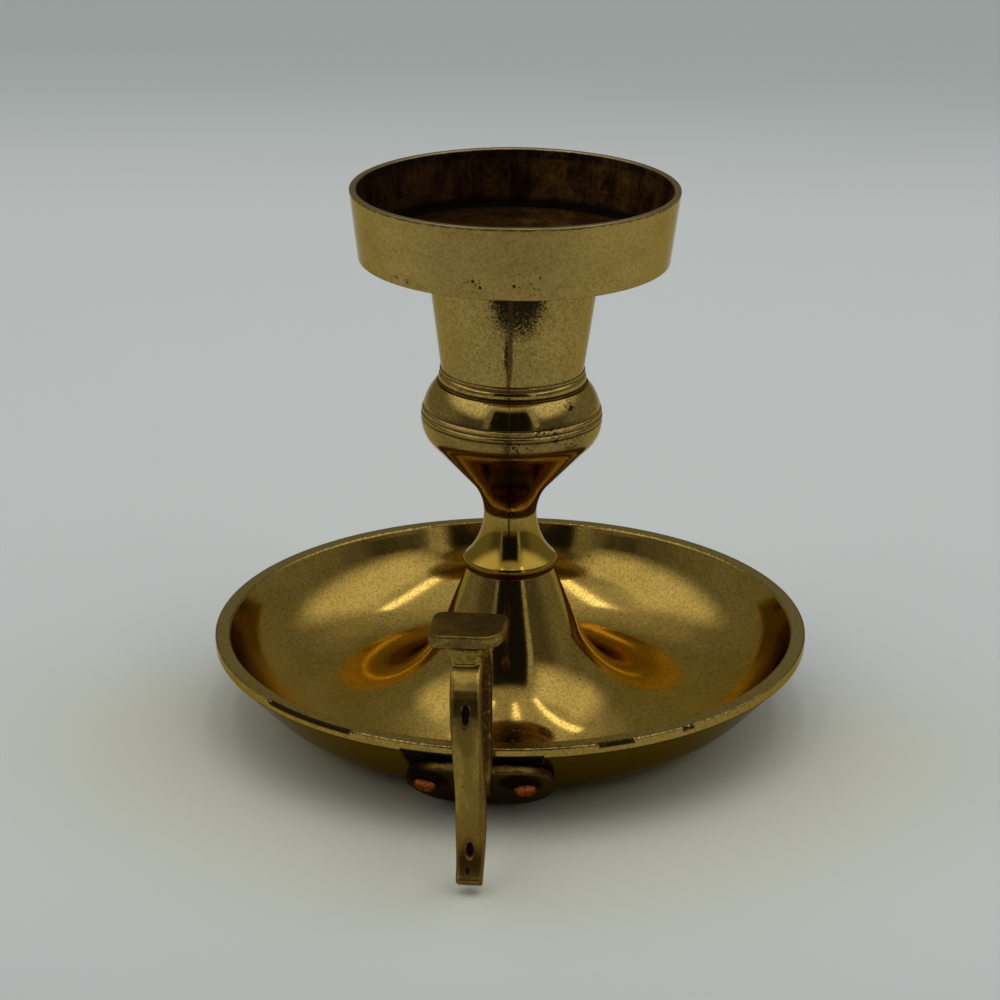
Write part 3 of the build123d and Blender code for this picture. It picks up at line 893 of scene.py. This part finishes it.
@dataclass
class Stem:
    """The moulded stem, cast hollow in two halves."""

    seam: float = 4.2
    foot: float = 36.0
    flange: float = 11.1
    flange_height: float = 2.5
    bead: float = 1.0
    nick: float = 0.3
    foot_height: float = 13.3
    foot_flare: float = 15.2
    waist: float = 6.2
    waist_arc: float = 11.2
    ogee: float = 23.5
    bulb: float = 21.0
    bulb_under: float = 8.2
    shoulder: float = 12.75
    shoulder_end: float = 17.55
    neck_height: float = 29.5
    neck_low: float = 16.55
    neck_top: float = 19.95
    collar: float = 2.3
    ring: float = 0.8
    gap: float = 0.25
    wall: float = 3.4
    bore: float = 12.68
    bore_bottom: float = 81.82
    tenon: float = 3.22
    tenon_top: float = 44.0
    lines: tuple[float, ...] = (0.5, 1.85, 3.2)
    finish: Brass = field(default_factory=lambda: StemBrass("stem_brass"))

    def ogee_run(self, waist_at: float, bulb_at: float) -> tuple[Vector, Vector, Vector]:
        """The straight run between the waist's arc and the bulb's.

        Args:
            waist_at: Height of the waist.
            bulb_at: Height of the bulb's widest ring.

        Returns:
            The run's two ends and the way it faces.
        """
        high = Vector((self.bulb - self.bulb_under, bulb_at))
        low = Vector((self.waist + self.waist_arc, waist_at))
        apart = low - high
        turn = math.acos((self.bulb_under + self.waist_arc) / apart.length) + math.atan2(apart.y, apart.x)
        out = Vector((math.cos(turn), math.sin(turn)))
        return low - out * self.waist_arc, high + out * self.bulb_under, out

    def profile(self) -> list[Point]:
        """The closed outline of the stem's section, from the tenon's hole outwards and up."""
        waist_at = self.foot + self.foot_height
        bulb_at = waist_at + self.ogee
        flange_top = self.foot + self.flange_height
        drop = self.foot_height - self.flange_height
        flare_end = self.waist + self.foot_flare - math.sqrt(self.foot_flare**2 - drop**2)
        run_low, run_high, out = self.ogee_run(waist_at, bulb_at)
        rise = math.sqrt(self.shoulder**2 - (self.shoulder - self.bulb + self.shoulder_end) ** 2)
        shoulder_at = bulb_at + rise
        top = shoulder_at + self.neck_height
        collar_low = shoulder_at + self.gap
        collar_top = collar_low + self.collar
        ring_low = collar_top + self.gap
        ring_top = ring_low + self.ring
        down = Profile((self.waist, waist_at)).arc((flare_end, flange_top), (0, -1)).points
        bead_top = self.foot + self.bead
        outline = Profile((0.05, self.tenon_top + self.gap))
        outline.line((self.tenon, self.tenon_top), (self.tenon, self.foot))
        outline.line((self.flange - self.nick - 0.2, self.foot), (self.flange - self.nick, self.foot + 0.2))
        outline.line((self.flange - self.nick, bead_top - 0.2), (self.flange - 2 * self.nick, bead_top))
        outline.line((self.flange - 2 * self.nick, bead_top + 0.2), (self.flange - 0.1, bead_top + 0.35))
        outline.arc((flare_end + 0.2, flange_top - 0.05), (0.5, 1), 5)
        outline.back(down).arc(tuple(run_low), (0, 1))
        outline.line(tuple(run_low * 0.5 + run_high * 0.5), tuple(run_high))
        outline.arc((self.bulb, bulb_at), (-out.y, out.x))
        for rise_at in self.lines:
            radius = self.bulb_radius(rise_at)
            low, high = bulb_at + rise_at - 0.24, bulb_at + rise_at + 0.24
            outline.line((radius - 0.02, low), (radius - 0.26, low + 0.16), (radius - 0.26, high - 0.16))
            outline.line((self.bulb_radius(rise_at + 0.24) - 0.02, high))
            if rise_at != self.lines[-1]:
                outline.line((self.bulb_radius(rise_at + 0.68) + 0.10, bulb_at + rise_at + 0.68))
        last = self.lines[-1] + 0.24
        slope = (-last, math.sqrt(self.shoulder**2 - last**2))
        outline.arc((self.shoulder_end, shoulder_at), slope, 18)
        outline.line((self.neck_low + 0.2, shoulder_at + 0.04), (self.neck_low, collar_low))
        outline.arc((self.neck_low, collar_top), (1.0, 0.75), 10)
        outline.line((self.neck_low, ring_low)).arc((self.neck_low, ring_top), (1.2, 0.5), 6)
        outline.line((self.neck_low + 0.03, ring_top + 0.3), (self.neck_top - 0.1, top - 0.8))
        outline.line((self.neck_top, top))
        outline.line((self.bore, top), (self.bore, self.bore_bottom), (self.bulb - self.wall, bulb_at))
        inner_low = run_low - out * self.wall
        outline.line(tuple(run_high - out * self.wall), tuple(inner_low), (0.05, inner_low.y))
        return outline.points

    def bulb_radius(self, rise: float) -> float:
        """The bulb's radius at a height above its widest ring."""
        return self.bulb - self.shoulder + math.sqrt(self.shoulder**2 - rise**2)

    def half(self, name: str, keep_left: bool) -> bpy.types.Object:
        """Turn the whole stem and saw it along the seam.

        Args:
            name: The piece's name.
            keep_left: Which half stays.

        Returns:
            One half of the stem.
        """
        piece = Workshop.turn_profile(name, self.profile())
        Workshop.only(piece)
        bpy.ops.object.mode_set(mode="EDIT")
        bpy.ops.mesh.select_all(action="SELECT")
        angle = math.radians(self.seam)
        bpy.ops.mesh.bisect(
            plane_co=(0, 0, 0),
            plane_no=(math.cos(angle), math.sin(angle), 0),
            use_fill=True,
            clear_outer=keep_left,
            clear_inner=not keep_left,
        )
        bpy.ops.object.mode_set(mode="OBJECT")
        LEAN.bend(piece)
        Workshop.close(piece)
        Workshop.smooth(piece)
        return piece

    def build(self) -> list[bpy.types.Object]:
        """Make both halves and dress them."""
        finish = self.finish.material()
        made = []
        for name, left in (("stem_left", True), ("stem_right", False)):
            piece = self.half("cast_" + name, left)
            piece.data.materials.append(finish)
            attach(piece, Body.STAND.value)
            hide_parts(name)
            made.append(piece)
        return made


@dataclass
class Cup:
    """The lift-out cup."""

    base: float = 111.022
    height: float = 16.6
    low: float = 35.5
    rim: float = 37.5
    wall: float = 1.6
    floor: float = 3.3
    hole: float = 12.62
    ring: float = 31.3
    finish: Brass = field(default_factory=lambda: CupBrass("cup_brass"))

    def profile(self) -> list[Point]:
        """The closed outline of the cup's section."""
        top = self.base + self.height
        flare = (self.rim - self.low) / self.height
        floor = self.base + self.floor
        inner = self.low + flare * self.floor - self.wall
        return (
            Profile((self.hole, self.base))
            .line((self.ring - 0.5, self.base), (self.ring, self.base + 0.4), (self.ring + 0.5, self.base))
            .line((self.low - 0.25, self.base))
            .arc((self.low + 0.02, self.base + 0.3), (1, 0), 4)
            .line((self.low + flare * 6, self.base + 6), (self.rim - 0.04, top - 0.35))
            .arc((self.rim - 0.4, top), (flare, 1), 5)
            .line((self.rim - self.wall + 0.3, top), (self.rim - self.wall - 0.04, top - 0.3))
            .line((inner + flare * 6, floor + 6), (inner + flare, floor + 0.9))
            .arc((inner - 0.8, floor), (-flare, -1), 6)
            .line((inner - 8, floor), (self.hole + 0.2, floor), (self.hole, floor - 0.2))
            .points
        )

    def build(self) -> bpy.types.Object:
        """Turn the cup and dress it."""
        piece = Workshop.turn_profile("turned_cup", self.profile())
        LEAN.bend(piece)
        Workshop.smooth(piece)
        piece.data.materials.append(self.finish.material())
        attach(piece, Body.CUP.value)
        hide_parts("cup")
        return piece


@dataclass
class FingerHook:
    """Riveting plate, leg, thumb pad, arch and strap, in one casting."""

    width: float = 6.4
    thickness: float = 3.2
    edge: float = 0.6
    leg: float = 72.0
    strap: float = 92.2
    foot: tuple[tuple[float, float, float], ...] = (
        (63.8, 8.6, 62.0),
        (66.5, 9.9, 62.0),
        (69.0, 11.5, 52.0),
        (70.8, 13.4, 32.0),
        (71.7, 15.4, 14.0),
    )
    leg_heights: tuple[float, ...] = (17.5, 22.0, 28.0, 34.0)
    arch_steps: int = 8
    bend: float = 12.4
    bend_height: float = 35.5
    bend_steps: int = 12
    strap_steps: int = 5
    tail_start: float = 13.0
    tail_radius: float = 16.0
    tail_turn: float = 41.6
    tail_taper: float = 0.86
    tail_steps: int = 8
    leg_aside: float = 0.75
    arch_aside: float = 0.2
    tail_aside: float = 1.8
    pad_size: tuple[float, float, float] = (15.6, 13.4, 2.8)
    pad_reach: float = 81.3
    pad_base: float = 52.0
    pad_corner: float = 2.4
    pad_worn: float = 5.2
    pad_lip: float = 0.8
    plate_size: tuple[float, float, float] = (32.7, 19.2, 2.4)
    plate_at: Point = (61.73, 9.86)
    plate_flat: float = 0.4
    plate_grain: float = 0.4
    slope: float = 47.0
    seat: float = 0.05
    grain: float = 0.30
    nicks: tuple[tuple[float, float, float, float], ...] = ((0.8, 39.5, 0.7, 2.4), (1.7, 9.1, 0.7, 1.5))
    nick_depth: float = 0.8
    nick_reach: float = 92.6
    finish: Brass = field(default_factory=lambda: HookBrass("handle_brass"))

    def route(self) -> list[tuple[float, float, float]]:
        """The hook's middle line from the plate to the tail, as (reach, height, heading from upright)."""
        small = self.strap - self.leg - self.bend
        top = self.bend_height + self.bend
        steps = [*self.foot]
        steps += [(self.leg, height, 0.0) for height in (*self.leg_heights, top - small)]
        for step in range(1, self.arch_steps + 1):
            turn = 90.0 * step / self.arch_steps
            angle = math.radians(turn)
            reach = self.leg + small * (1 - math.cos(angle))
            steps.append((reach, top - small + small * math.sin(angle), turn))
        for step in range(1, self.bend_steps + 1):
            turn = 90.0 + 90.0 * step / self.bend_steps
            angle = math.radians(turn - 90.0)
            reach = self.leg + small + self.bend * math.sin(angle)
            steps.append((reach, self.bend_height + self.bend * math.cos(angle), turn))
        run = self.bend_height - self.tail_start
        shares = [step / self.strap_steps for step in range(1, self.strap_steps + 1)]
        steps += [(self.strap, self.bend_height - run * share, 180.0) for share in shares]
        for step in range(1, self.tail_steps + 1):
            turn = self.tail_turn * step / self.tail_steps
            angle = math.radians(turn)
            reach = self.strap + self.tail_radius * (1 - math.cos(angle))
            steps.append((reach, self.tail_start - self.tail_radius * math.sin(angle), 180.0 - turn))
        return steps

    def bar(self) -> bpy.types.Object:
        """Extrude the hook's bar along its route."""
        route = self.route()
        Workshop.clear()
        bpy.ops.mesh.primitive_plane_add(size=1.0)
        bar = bpy.context.object
        bar.scale = (self.width * MM, self.thickness * MM, 1.0)
        Workshop.apply_place(bar)
        bpy.ops.object.mode_set(mode="EDIT")
        bpy.ops.mesh.select_all(action="SELECT")
        bpy.ops.mesh.bevel(offset=self.edge * MM, segments=3, affect="VERTICES")
        reach, height, heading = route[0]
        bpy.ops.transform.translate(value=(0, -reach * MM, height * MM))
        self.tip(heading, reach, height)
        tail_first = len(route) - self.tail_steps
        for number, (next_reach, next_height, next_heading) in enumerate(route[1:], 1):
            step = (0, (reach - next_reach) * MM, (next_height - height) * MM)
            bpy.ops.mesh.extrude_region_move(TRANSFORM_OT_translate={"value": step})
            self.tip(next_heading - heading, next_reach, next_height)
            reach, height, heading = next_reach, next_height, next_heading
            if number >= tail_first:
                taper = self.tail_taper ** (1 / self.tail_steps)
                bpy.ops.transform.resize(value=(taper, 1, 1), center_override=(0, -reach * MM, height * MM))
        bpy.ops.object.mode_set(mode="OBJECT")
        Workshop.close(bar)
        return bar

    def aside(self, reach: float, height: float) -> float:
        """How far the bent bar stands to the right of the hook's middle plane.

        The pad and the plate stand true.

        Args:
            reach: Distance from the stem's axis, in millimetres.
            height: Height in millimetres.

        Returns:
            The distance in millimetres.
        """
        top = self.bend_height + self.bend
        under_pad = held((self.pad_base - 1.0 - height) / 3.0)
        fall = held((top - height) / 27.0)
        strap = self.arch_aside + (self.tail_aside - self.arch_aside) * fall
        leg = self.arch_aside + (self.leg_aside - self.arch_aside) * held((top - height) / 8.0)
        leg *= held((height - 8.0) / 10.0)
        outer = held((reach - self.leg - 4.0) / 10.0)
        return (strap * outer + leg * (1.0 - outer)) * under_pad

    @staticmethod
    def tip(angle: float, reach: float, height: float) -> None:
        """Turn what is selected about a line along X.

        Args:
            angle: Degrees outwards from upright.
            reach: The line's distance from the stem's axis, in millimetres.
            height: Its height in millimetres.
        """
        if angle:
            middle = (0, -reach * MM, height * MM)
            bpy.ops.transform.rotate(value=-math.radians(angle), orient_axis="X", center_override=middle)

    def pad(self) -> bpy.types.Object:
        """Shape the thumb pad and the neck that flares into it."""
        wide, long, thick = self.pad_size
        Workshop.clear()
        middle = (0, -self.pad_reach * MM, (self.pad_base + thick / 2) * MM)
        bpy.ops.mesh.primitive_cube_add(size=1.0, location=middle)
        pad = bpy.context.object
        pad.scale = (wide * MM, long * MM, thick * MM)
        Workshop.apply_place(pad)
        for worn, corner in ((False, self.pad_corner), (True, self.pad_worn)):
            self.pick(
                pad,
                Pick.EDGES,
                lambda a, b: abs(a.z - b.z) > 1e-4
                and abs(abs(a.x) - wide * MM / 2) < 1e-6
                and abs(abs(a.y - middle[1]) - long * MM / 2) < 1e-6
                and (a.x > 0 and a.y < middle[1]) == worn,
            )
            bpy.ops.mesh.bevel(offset=corner * MM, segments=8, affect="EDGES")
            bpy.ops.object.mode_set(mode="OBJECT")
        self.pick(pad, Pick.FACES, lambda face: face.normal.z < -0.9)
        bpy.ops.mesh.inset(thickness=self.pad_lip * MM)
        for drop, across, along in ((1.2, 0.72, 0.93), (1.4, 0.72, 0.95), (2.2, 0.87, 0.95)):
            bpy.ops.mesh.extrude_region_move(TRANSFORM_OT_translate={"value": (0, 0, -drop * MM)})
            bpy.ops.transform.resize(value=(across, along, 1), center_override=middle)
        bpy.ops.object.mode_set(mode="OBJECT")
        return pad

    def plate(self) -> bpy.types.Object:
        """Shape the plate flat, then wrap it round the pan's outer wall."""
        wide, tall, thick = self.plate_size
        Workshop.clear()
        bpy.ops.mesh.primitive_cube_add(size=1.0)
        plate = bpy.context.object
        plate.scale = (wide * MM, tall * MM, thick * MM)
        Workshop.apply_place(plate)
        self.pick(plate, Pick.EDGES, lambda a, b: abs(a.z - b.z) > 1e-4)
        bpy.ops.mesh.bevel(offset=(tall / 2 - self.plate_flat) * MM, segments=14, affect="EDGES")
        bpy.ops.object.mode_set(mode="OBJECT")
        Workshop.modify(plate, "REMESH", mode="VOXEL", voxel_size=self.plate_grain * MM)
        angle = math.radians(self.slope)
        reach, height = self.plate_at
        for vertex in plate.data.vertices:
            x, down, out = vertex.co.x / MM, -vertex.co.y / MM, vertex.co.z / MM + thick / 2 + self.seat
            radius = reach - math.cos(angle) * down + math.sin(angle) * out
            up = height - math.sin(angle) * down - math.cos(angle) * out
            around = x / (reach - math.cos(angle) * down * 0.5)
            vertex.co = Vector((radius * math.sin(around), -radius * math.cos(around), up)) * MM
        return plate

    @staticmethod
    def pick(piece: bpy.types.Object, kind: Pick, wanted: Callable[..., bool]) -> None:
        """Enter edit mode with only some edges or faces selected.

        Args:
            piece: The piece to edit.
            kind: What is selected.
            wanted: A test on an edge's two ends, or on a face.
        """
        Workshop.only(piece)
        bpy.ops.object.mode_set(mode="EDIT")
        bpy.ops.mesh.select_mode(type=kind.value)
        bpy.ops.mesh.select_all(action="DESELECT")
        bpy.ops.object.mode_set(mode="OBJECT")
        if kind is Pick.EDGES:
            places = [vertex.co for vertex in piece.data.vertices]
            for edge in piece.data.edges:
                edge.select = wanted(*(places[end] for end in edge.vertices))
        else:
            for face in piece.data.polygons:
                face.select = wanted(face)
        bpy.ops.object.mode_set(mode="EDIT")

    def dent(self, x: float, height: float) -> float:
        """How deep the casting flaws in the strap's front are.

        Args:
            x: Distance to the right, in millimetres.
            height: Height in millimetres.

        Returns:
            The depth in millimetres.
        """
        deep = 0.0
        for centre, middle, half_width, half_height in self.nicks:
            away = ((x - centre) / half_width) ** 2 + ((height - middle) / half_height) ** 2
            deep = max(deep, self.nick_depth * held((1.5 - away) / 0.9))
        return deep

    def build(self) -> bpy.types.Object:
        """Join the shapes into one casting and dress it."""
        bar, pad, plate = self.bar(), self.pad(), self.plate()
        Workshop.clear()
        for shape in (pad, plate, bar):
            shape.select_set(True)
        bpy.context.view_layer.objects.active = bar
        bpy.ops.object.join()
        bar.name = "cast_finger_hook"
        Workshop.modify(bar, "REMESH", mode="VOXEL", voxel_size=self.grain * MM)
        Workshop.modify(bar, "SMOOTH", factor=0.5, iterations=4)
        for vertex in bar.data.vertices:
            vertex.co.x += self.aside(-vertex.co.y / MM, vertex.co.z / MM) * MM
            if vertex.co.y < -self.nick_reach * MM:
                vertex.co.y += self.dent(vertex.co.x / MM, vertex.co.z / MM) * MM
        Workshop.close(bar)
        Workshop.smooth(bar, 60.0)
        bar.data.materials.append(self.finish.material())
        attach(bar, Body.STAND.value)
        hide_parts("handle")
        return bar


@dataclass
class CandleTube:
    """The closed tube under the cup's floor."""

    top: float = 114.322
    depth: float = 30.0
    end: float = 1.5
    inner: float = 11.2
    outer: float = 12.6
    finish: Brass = field(default_factory=lambda: DullBrass("fitting_brass"))

    def build(self) -> bpy.types.Object:
        """Turn the tube and dress it."""
        floor = self.top - self.depth
        low = floor - self.end
        outline = Profile((0.05, low)).line((self.outer - 0.5, low), (self.outer, low + 0.5))
        outline.line((self.outer, self.top - 0.3), (self.outer - 0.3, self.top))
        outline.line((self.inner + 0.3, self.top), (self.inner, self.top - 0.3))
        outline.line((self.inner, floor + 0.4), (self.inner - 0.4, floor), (0.05, floor))
        piece = Workshop.turn_profile("drawn_candle_tube", outline.points, 128)
        LEAN.bend(piece)
        Workshop.smooth(piece)
        piece.data.materials.append(self.finish.material())
        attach(piece, Body.CUP.value)
        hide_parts("candle_tube")
        return piece


@dataclass
class Rivets:
    """Copper rivets, their ends beaten rough over the plate."""

    at: Point = (61.73, 9.86)
    slope: float = 47.0
    half_spacing: float = 10.75
    aside: float = -0.9
    shank: float = 2.2
    plate: float = 2.4
    wall: float = 1.376
    head: float = 1.45
    inner_head: Point = (3.2, 1.05)
    rough: float = 0.16
    finish: Brass = field(default_factory=lambda: Copper("copper"))

    def rivet(self, name: str, side: int) -> bpy.types.Object:
        """Turn one rivet, beat its end, and set it in the pan's wall.

        Args:
            name: The piece's name.
            side: -1 for the left one, 1 for the right one.

        Returns:
            The rivet.
        """
        end = self.plate + self.head
        reach, thick = self.inner_head
        outline = Profile((0.04, end - 0.1)).line((0.9, end - 0.02), (1.6, end - 0.12), (2.15, end - 0.4))
        outline.line((2.5, end - 0.85), (2.6, self.plate + 0.15), (2.45, self.plate))
        outline.line((self.shank, self.plate - 0.1), (self.shank, -self.wall * 0.8))
        outline.line((reach, -self.wall + 0.1), (reach - 0.3, -self.wall - 0.35))
        outline.line((reach * 0.6, -self.wall - thick * 0.85), (0.04, -self.wall - thick))
        piece = Workshop.turn_profile(name, outline.points, 40)
        chance = random.Random(side + 5)
        for vertex in piece.data.vertices:
            if vertex.co.z > (self.plate + 0.4) * MM:
                knock = [chance.uniform(-1.0, 0.35) * self.rough * MM for _ in range(2)]
                outward = Vector((vertex.co.x, vertex.co.y, 0.0)).normalized()
                vertex.co += outward * knock[0] + Vector((0, 0, knock[1]))
        around = math.asin(self.half_spacing / self.at[0]) * side + math.radians(self.aside)
        out, up = self.at
        piece.location = (out * math.sin(around) * MM, -out * math.cos(around) * MM, up * MM)
        piece.rotation_euler = (math.pi - math.radians(self.slope), 0.0, around)
        Workshop.apply_place(piece)
        Workshop.smooth(piece, 40.0)
        return piece

    def build(self) -> list[bpy.types.Object]:
        """Set both rivets and dress them."""
        finish = self.finish.material()
        made = []
        for name, side in (("rivet_left", -1), ("rivet_right", 1)):
            piece = self.rivet("copper_" + name, side)
            piece.data.materials.append(finish)
            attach(piece, Body.STAND.value)
            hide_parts(name)
            made.append(piece)
        return made


@dataclass
class Fittings:
    """The tenon and washer under the cone, which keep their machined solids."""

    finish: Brass = field(default_factory=lambda: DullBrass("fitting_brass"))

    def dress(self, nodes: dict[str, bpy.types.Object]) -> None:
        """Give each solid the candle tube's finish.

        Args:
            nodes: The solids by name.
        """
        finish = bpy.data.materials.get(self.finish.name) or self.finish.material()
        for name in ("stem_tenon", "tenon_washer"):
            nodes[name].data.materials.clear()
            nodes[name].data.materials.append(finish)


@dataclass
class Studio:
    """Pale floor, soft light and the photograph's camera."""

    turn: float = 6.2
    distance: float = 0.61748
    height: float = 0.28384
    pitch: float = 0.359144
    lens: float = 101.235
    sensor: float = 36.0
    shift: float = -0.0102
    floor_size: float = 6.0
    floor_rough: float = 0.9
    floor_tone: Colour = (0.740, 0.775, 0.765)
    floor_far_shade: Colour = (0.530, 0.580, 0.572)
    floor_front_shade: Colour = (0.575, 0.601, 0.590)
    floor_painted_bounce: Colour = (0.727, 0.732, 0.600)
    far_run: Point = (430.0, 780.0)
    front_run: Point = (-60.0, -260.0)
    near_reach: Point = (150.0, 80.0)
    near_run: Point = (50.0, -30.0)
    lamp_size: Point = (0.075, 0.90)
    lamp_places: tuple[float, ...] = (-0.26, 0.065, 0.39)
    lamp_ahead: float = -0.02
    lamp_height: float = 1.0
    lamp_watts: float = 0.50
    light_tint: Colour = (0.985, 1.0, 0.985)
    light_level: float = 1.15

    def camera(self) -> None:
        """Set up the camera."""
        data = bpy.data.cameras.new("camera")
        data.sensor_width = self.sensor
        data.lens = self.lens
        data.shift_x = self.shift
        data.clip_start = 0.01
        camera = bpy.data.objects.new("camera", data)
        angle = math.radians(self.turn)
        camera.location = (self.distance * math.sin(angle), -self.distance * math.cos(angle), self.height)
        camera.rotation_euler = (math.pi / 2 - self.pitch, 0.0, angle)
        bpy.context.scene.collection.objects.link(camera)
        bpy.context.scene.camera = camera

    def floor(self) -> None:
        """Lay the floor, with painted shade far behind the object and towards the camera, and painted warm
        light bounced from the brass close to it.
        """
        Workshop.clear()
        bpy.ops.mesh.primitive_plane_add(size=self.floor_size, location=(0, 0, 0))
        floor = bpy.context.object
        floor.name = "floor"
        made = bpy.data.materials.new("studio_floor")
        made.use_nodes = True
        at = Place(made)
        shader = made.node_tree.nodes["Principled BSDF"]
        # Painted shade: darker far behind the object and towards the camera.
        tone = at.blend(at.y.ramp(*self.far_run), self.floor_tone, self.floor_far_shade)
        tone = at.blend(at.y.ramp(*self.front_run), tone, self.floor_front_shade)
        # Painted light: a warm tint near the object for light bounced from the brass.
        close = at.reach.ramp(*self.near_reach) * at.y.ramp(*self.near_run)
        tone = at.blend(close, tone, self.floor_painted_bounce)
        made.node_tree.links.new(tone.socket, shader.inputs["Base Color"])
        shader.inputs["Roughness"].default_value = self.floor_rough
        floor.data.materials.append(made)

    def lamps(self) -> None:
        """Hang three long overhead lamps that run from front to back."""
        angle = math.radians(self.turn)
        for aside in self.lamp_places:
            data = bpy.data.lights.new("overhead", "AREA")
            data.shape = "RECTANGLE"
            data.size, data.size_y = self.lamp_size
            data.energy = self.lamp_watts
            lamp = bpy.data.objects.new("overhead", data)
            lamp.location = (
                aside * math.cos(angle) + self.lamp_ahead * math.sin(angle),
                aside * math.sin(angle) - self.lamp_ahead * math.cos(angle),
                self.lamp_height,
            )
            lamp.rotation_euler = (0.0, 0.0, angle)
            bpy.context.scene.collection.objects.link(lamp)

    def surroundings(self) -> None:
        """A pale tent: bright panels high at both sides and a dark opening behind the camera."""
        world = bpy.data.worlds.new("surroundings")
        bpy.context.scene.world = world
        world.use_nodes = True
        graph = Graph(world.node_tree)
        way = graph.node("TexCoord", out="Generated")
        split = graph.node("SeparateXYZ", None, {0: way}).socket.node
        x, y, up = (Value(graph, split.outputs[i]) for i in range(3))
        angle = math.radians(self.turn)
        ahead = x * math.sin(angle) - y * math.cos(angle)
        aside = x * math.cos(angle) + y * math.sin(angle)
        turn = aside.maths("ARCTAN2", ahead) * (180.0 / math.pi)
        ceiling = up.ramp(0.84, 0.89)
        ceiling_front = ceiling * ahead.ramp(0.02, 0.14) * aside.ramp(0.10, 0.0)
        below = up.ramp(0.84, 0.76)
        front = abs(turn).ramp(92.0, 58.0) * up.ramp(0.61, 0.45)
        side_panels = abs(abs(turn) - 84.0).ramp(56.0, 29.0) * up.ramp(0.38, 0.66)
        right_edge = turn.near(33.0, 3.0, 2.0) * below
        left_edge = turn.near(-33.0, 3.0, 2.0) * below
        opening = turn.near(-1.0, 27.0, 2.5) * up.ramp(0.08, 0.16) * up.ramp(0.83, 0.74)
        level = up.ramp(0.55, 0.87) * 0.26 + 0.22
        for brightness, where in (
            (0.105, front),
            (0.92, side_panels),
            (0.60, ceiling),
            (0.47, ceiling_front),
            (0.45, right_edge),
            (0.28, left_edge),
            (0.012, opening),
        ):
            level = level.toward(brightness, where)
        tone = graph.node("VectorMath", {"operation": "SCALE"}, {0: self.light_tint, "Scale": level})
        background = world.node_tree.nodes["Background"]
        world.node_tree.links.new(tone.socket, background.inputs["Color"])
        background.inputs["Strength"].default_value = self.light_level

    def build(self) -> None:
        """Set up everything that is not the object."""
        self.camera()
        self.floor()
        self.lamps()
        self.surroundings()
        bpy.context.scene.view_settings.view_transform = "Standard"


def main() -> None:
    """Build the pieces in order and report each of them."""
    logging.basicConfig(level=logging.INFO, format="%(name)s: %(message)s")
    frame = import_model()
    made = [Pan().build(), Cup().build(), CandleTube().build(), FingerHook().build()]
    made += [*Stem().build(), *Rivets().build()]
    Fittings().dress(frame["nodes"])
    for piece in made:
        LOG.info("%s: %d faces", piece.name, len(piece.data.polygons))
    Studio().build()


if __name__ == "__main__":
    main()
